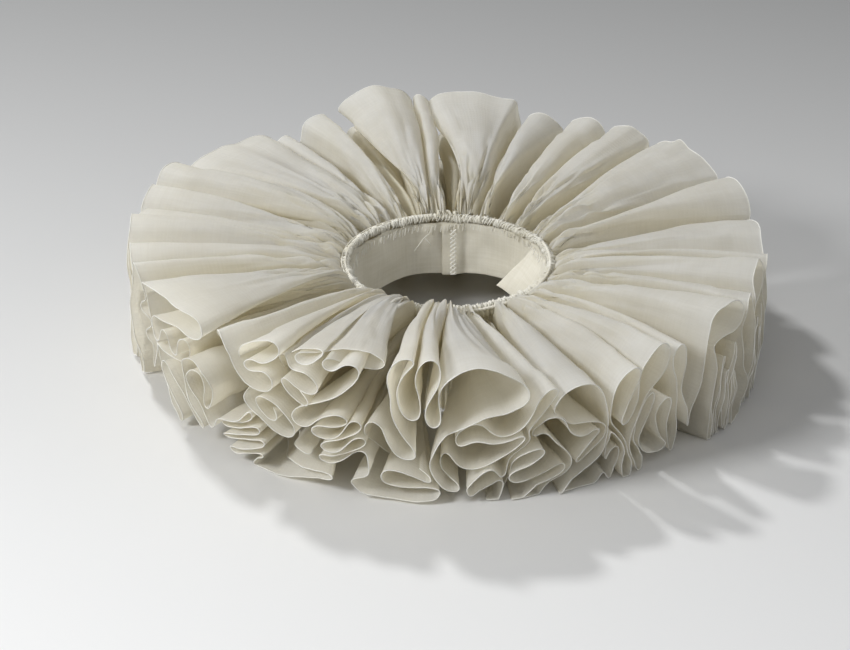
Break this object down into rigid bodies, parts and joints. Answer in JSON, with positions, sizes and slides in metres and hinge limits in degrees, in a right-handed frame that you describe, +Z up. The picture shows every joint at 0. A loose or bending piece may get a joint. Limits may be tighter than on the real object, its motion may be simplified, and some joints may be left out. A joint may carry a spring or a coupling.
{
  "type": "ruff collar",
  "caption": "Round gathered ruff collar lying flat: a deep frill of fine linen in uneven loops, set into a lapped neckband round an open neck.",
  "frame": {"origin": "bottom centre of the collar's bounding box, on the surface it lies on", "axes": "+Z up through the neck opening; -Y is the front, where the loosened loops show; +X is to the right in the front view; the lap of the band is at the back (+Y)"},
  "size_m": [0.4025, 0.4055, 0.1032],
  "materials": {
    "frill_linen": "fine plain weave, starched, slightly see-through",
    "band_linen": "plain weave, doubled and stitched"
  },
  "bodies": {
    "root": {"frill_length_01": "frill_linen", "frill_length_02": "frill_linen", "frill_length_03": "frill_linen", "frill_length_04": "frill_linen", "frill_length_05": "frill_linen", "frill_length_06": "frill_linen", "frill_length_07": "frill_linen", "frill_length_08": "frill_linen", "frill_length_09": "frill_linen", "frill_length_10": "frill_linen", "frill_length_11": "frill_linen", "frill_length_12": "frill_linen", "frill_length_13": "frill_linen", "frill_length_14": "frill_linen", "neckband": "band_linen", "gathering_edge": "band_linen"}
  },
  "joints": []
}
